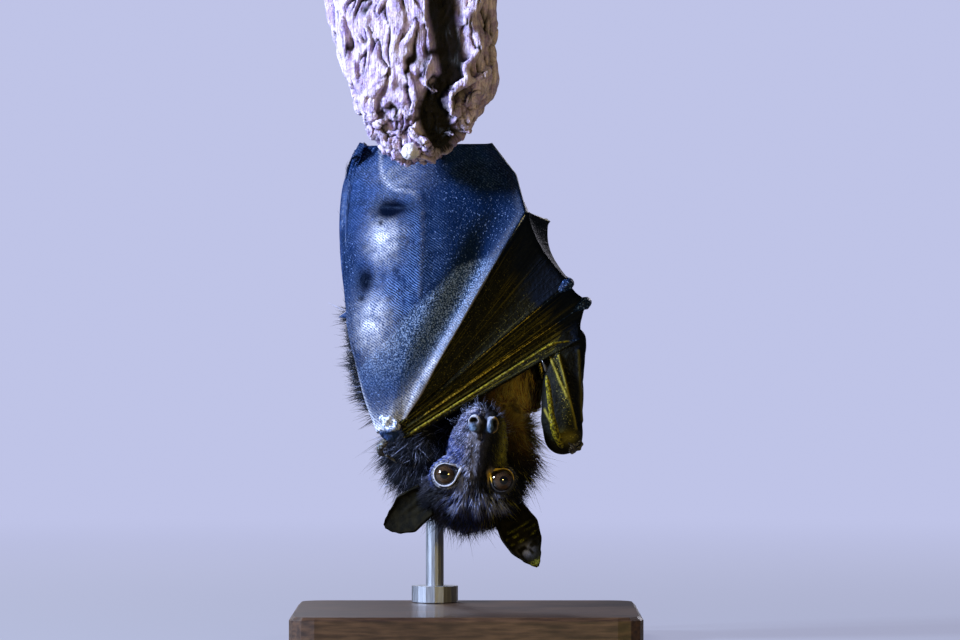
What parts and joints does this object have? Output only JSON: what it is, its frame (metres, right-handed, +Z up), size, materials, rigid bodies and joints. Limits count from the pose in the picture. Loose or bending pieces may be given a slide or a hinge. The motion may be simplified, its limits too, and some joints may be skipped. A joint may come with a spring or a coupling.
{
  "type": "fruit bat",
  "caption": "Life-size still model of a large fruit bat hanging head down from a stub of root with its wings folded round it, on a display stand.",
  "frame": {"origin": "middle of the underside of the stand's base, on the surface the model stands on", "axes": "+Z up, from the base past the bat's head to the root it hangs from; the bat's face and belly look along -Y; +X is to the bat's own right"},
  "size_m": [0.19, 0.18, 0.361],
  "materials": {
    "fur": "soft black fur",
    "wing_skin": "satin slate-blue wing skin",
    "finger_skin": "satin olive skin over bone",
    "ear_skin": "matt bare skin",
    "eye": "wet gloss",
    "claw": "polished horn",
    "root_bark": "rough weathered bark",
    "stand_wood": "satin",
    "stand_steel": "satin"
  },
  "bodies": {
    "root": {"trunk": "fur", "neck": "fur", "head": "fur", "jaw": "fur", "thigh_left": "fur", "thigh_right": "fur", "shank_left": "fur", "shank_right": "fur", "upper_arm_left": "fur", "upper_arm_right": "fur", "forearm_left": "wing_skin", "forearm_right": "wing_skin", "wrist_left": "wing_skin", "wrist_right": "wing_skin", "membrane_left_front": "wing_skin", "membrane_left_back": "wing_skin", "membrane_left_shoulder": "wing_skin", "membrane_right_back": "wing_skin", "membrane_right_shoulder": "wing_skin", "web_left_4_5": "wing_skin", "web_left_3_4": "wing_skin", "web_left_2_3": "wing_skin", "web_right_2_3": "wing_skin", "web_right_3_4": "wing_skin", "web_right_4_5": "wing_skin", "foot_left": "wing_skin", "foot_right": "wing_skin", "finger_left_2": "finger_skin", "finger_left_3": "finger_skin", "finger_left_4": "finger_skin", "finger_left_5": "finger_skin", "finger_right_2": "finger_skin", "finger_right_3": "finger_skin", "finger_right_4": "finger_skin", "finger_right_5": "finger_skin", "thumb_left": "finger_skin", "thumb_right": "finger_skin", "ear_left": "ear_skin", "ear_right": "ear_skin", "eye_left": "eye", "eye_right": "eye", "claw_thumb_left": "claw", "claw_thumb_right": "claw", "claw_left_0": "claw", "claw_left_1": "claw", "claw_left_2": "claw", "claw_left_3": "claw", "claw_left_4": "claw", "claw_right_0": "claw", "claw_right_1": "claw", "claw_right_2": "claw", "claw_right_3": "claw", "claw_right_4": "claw", "perch": "root_bark", "stand_base": "stand_wood", "stand_rod": "stand_steel"}
  },
  "joints": []
}
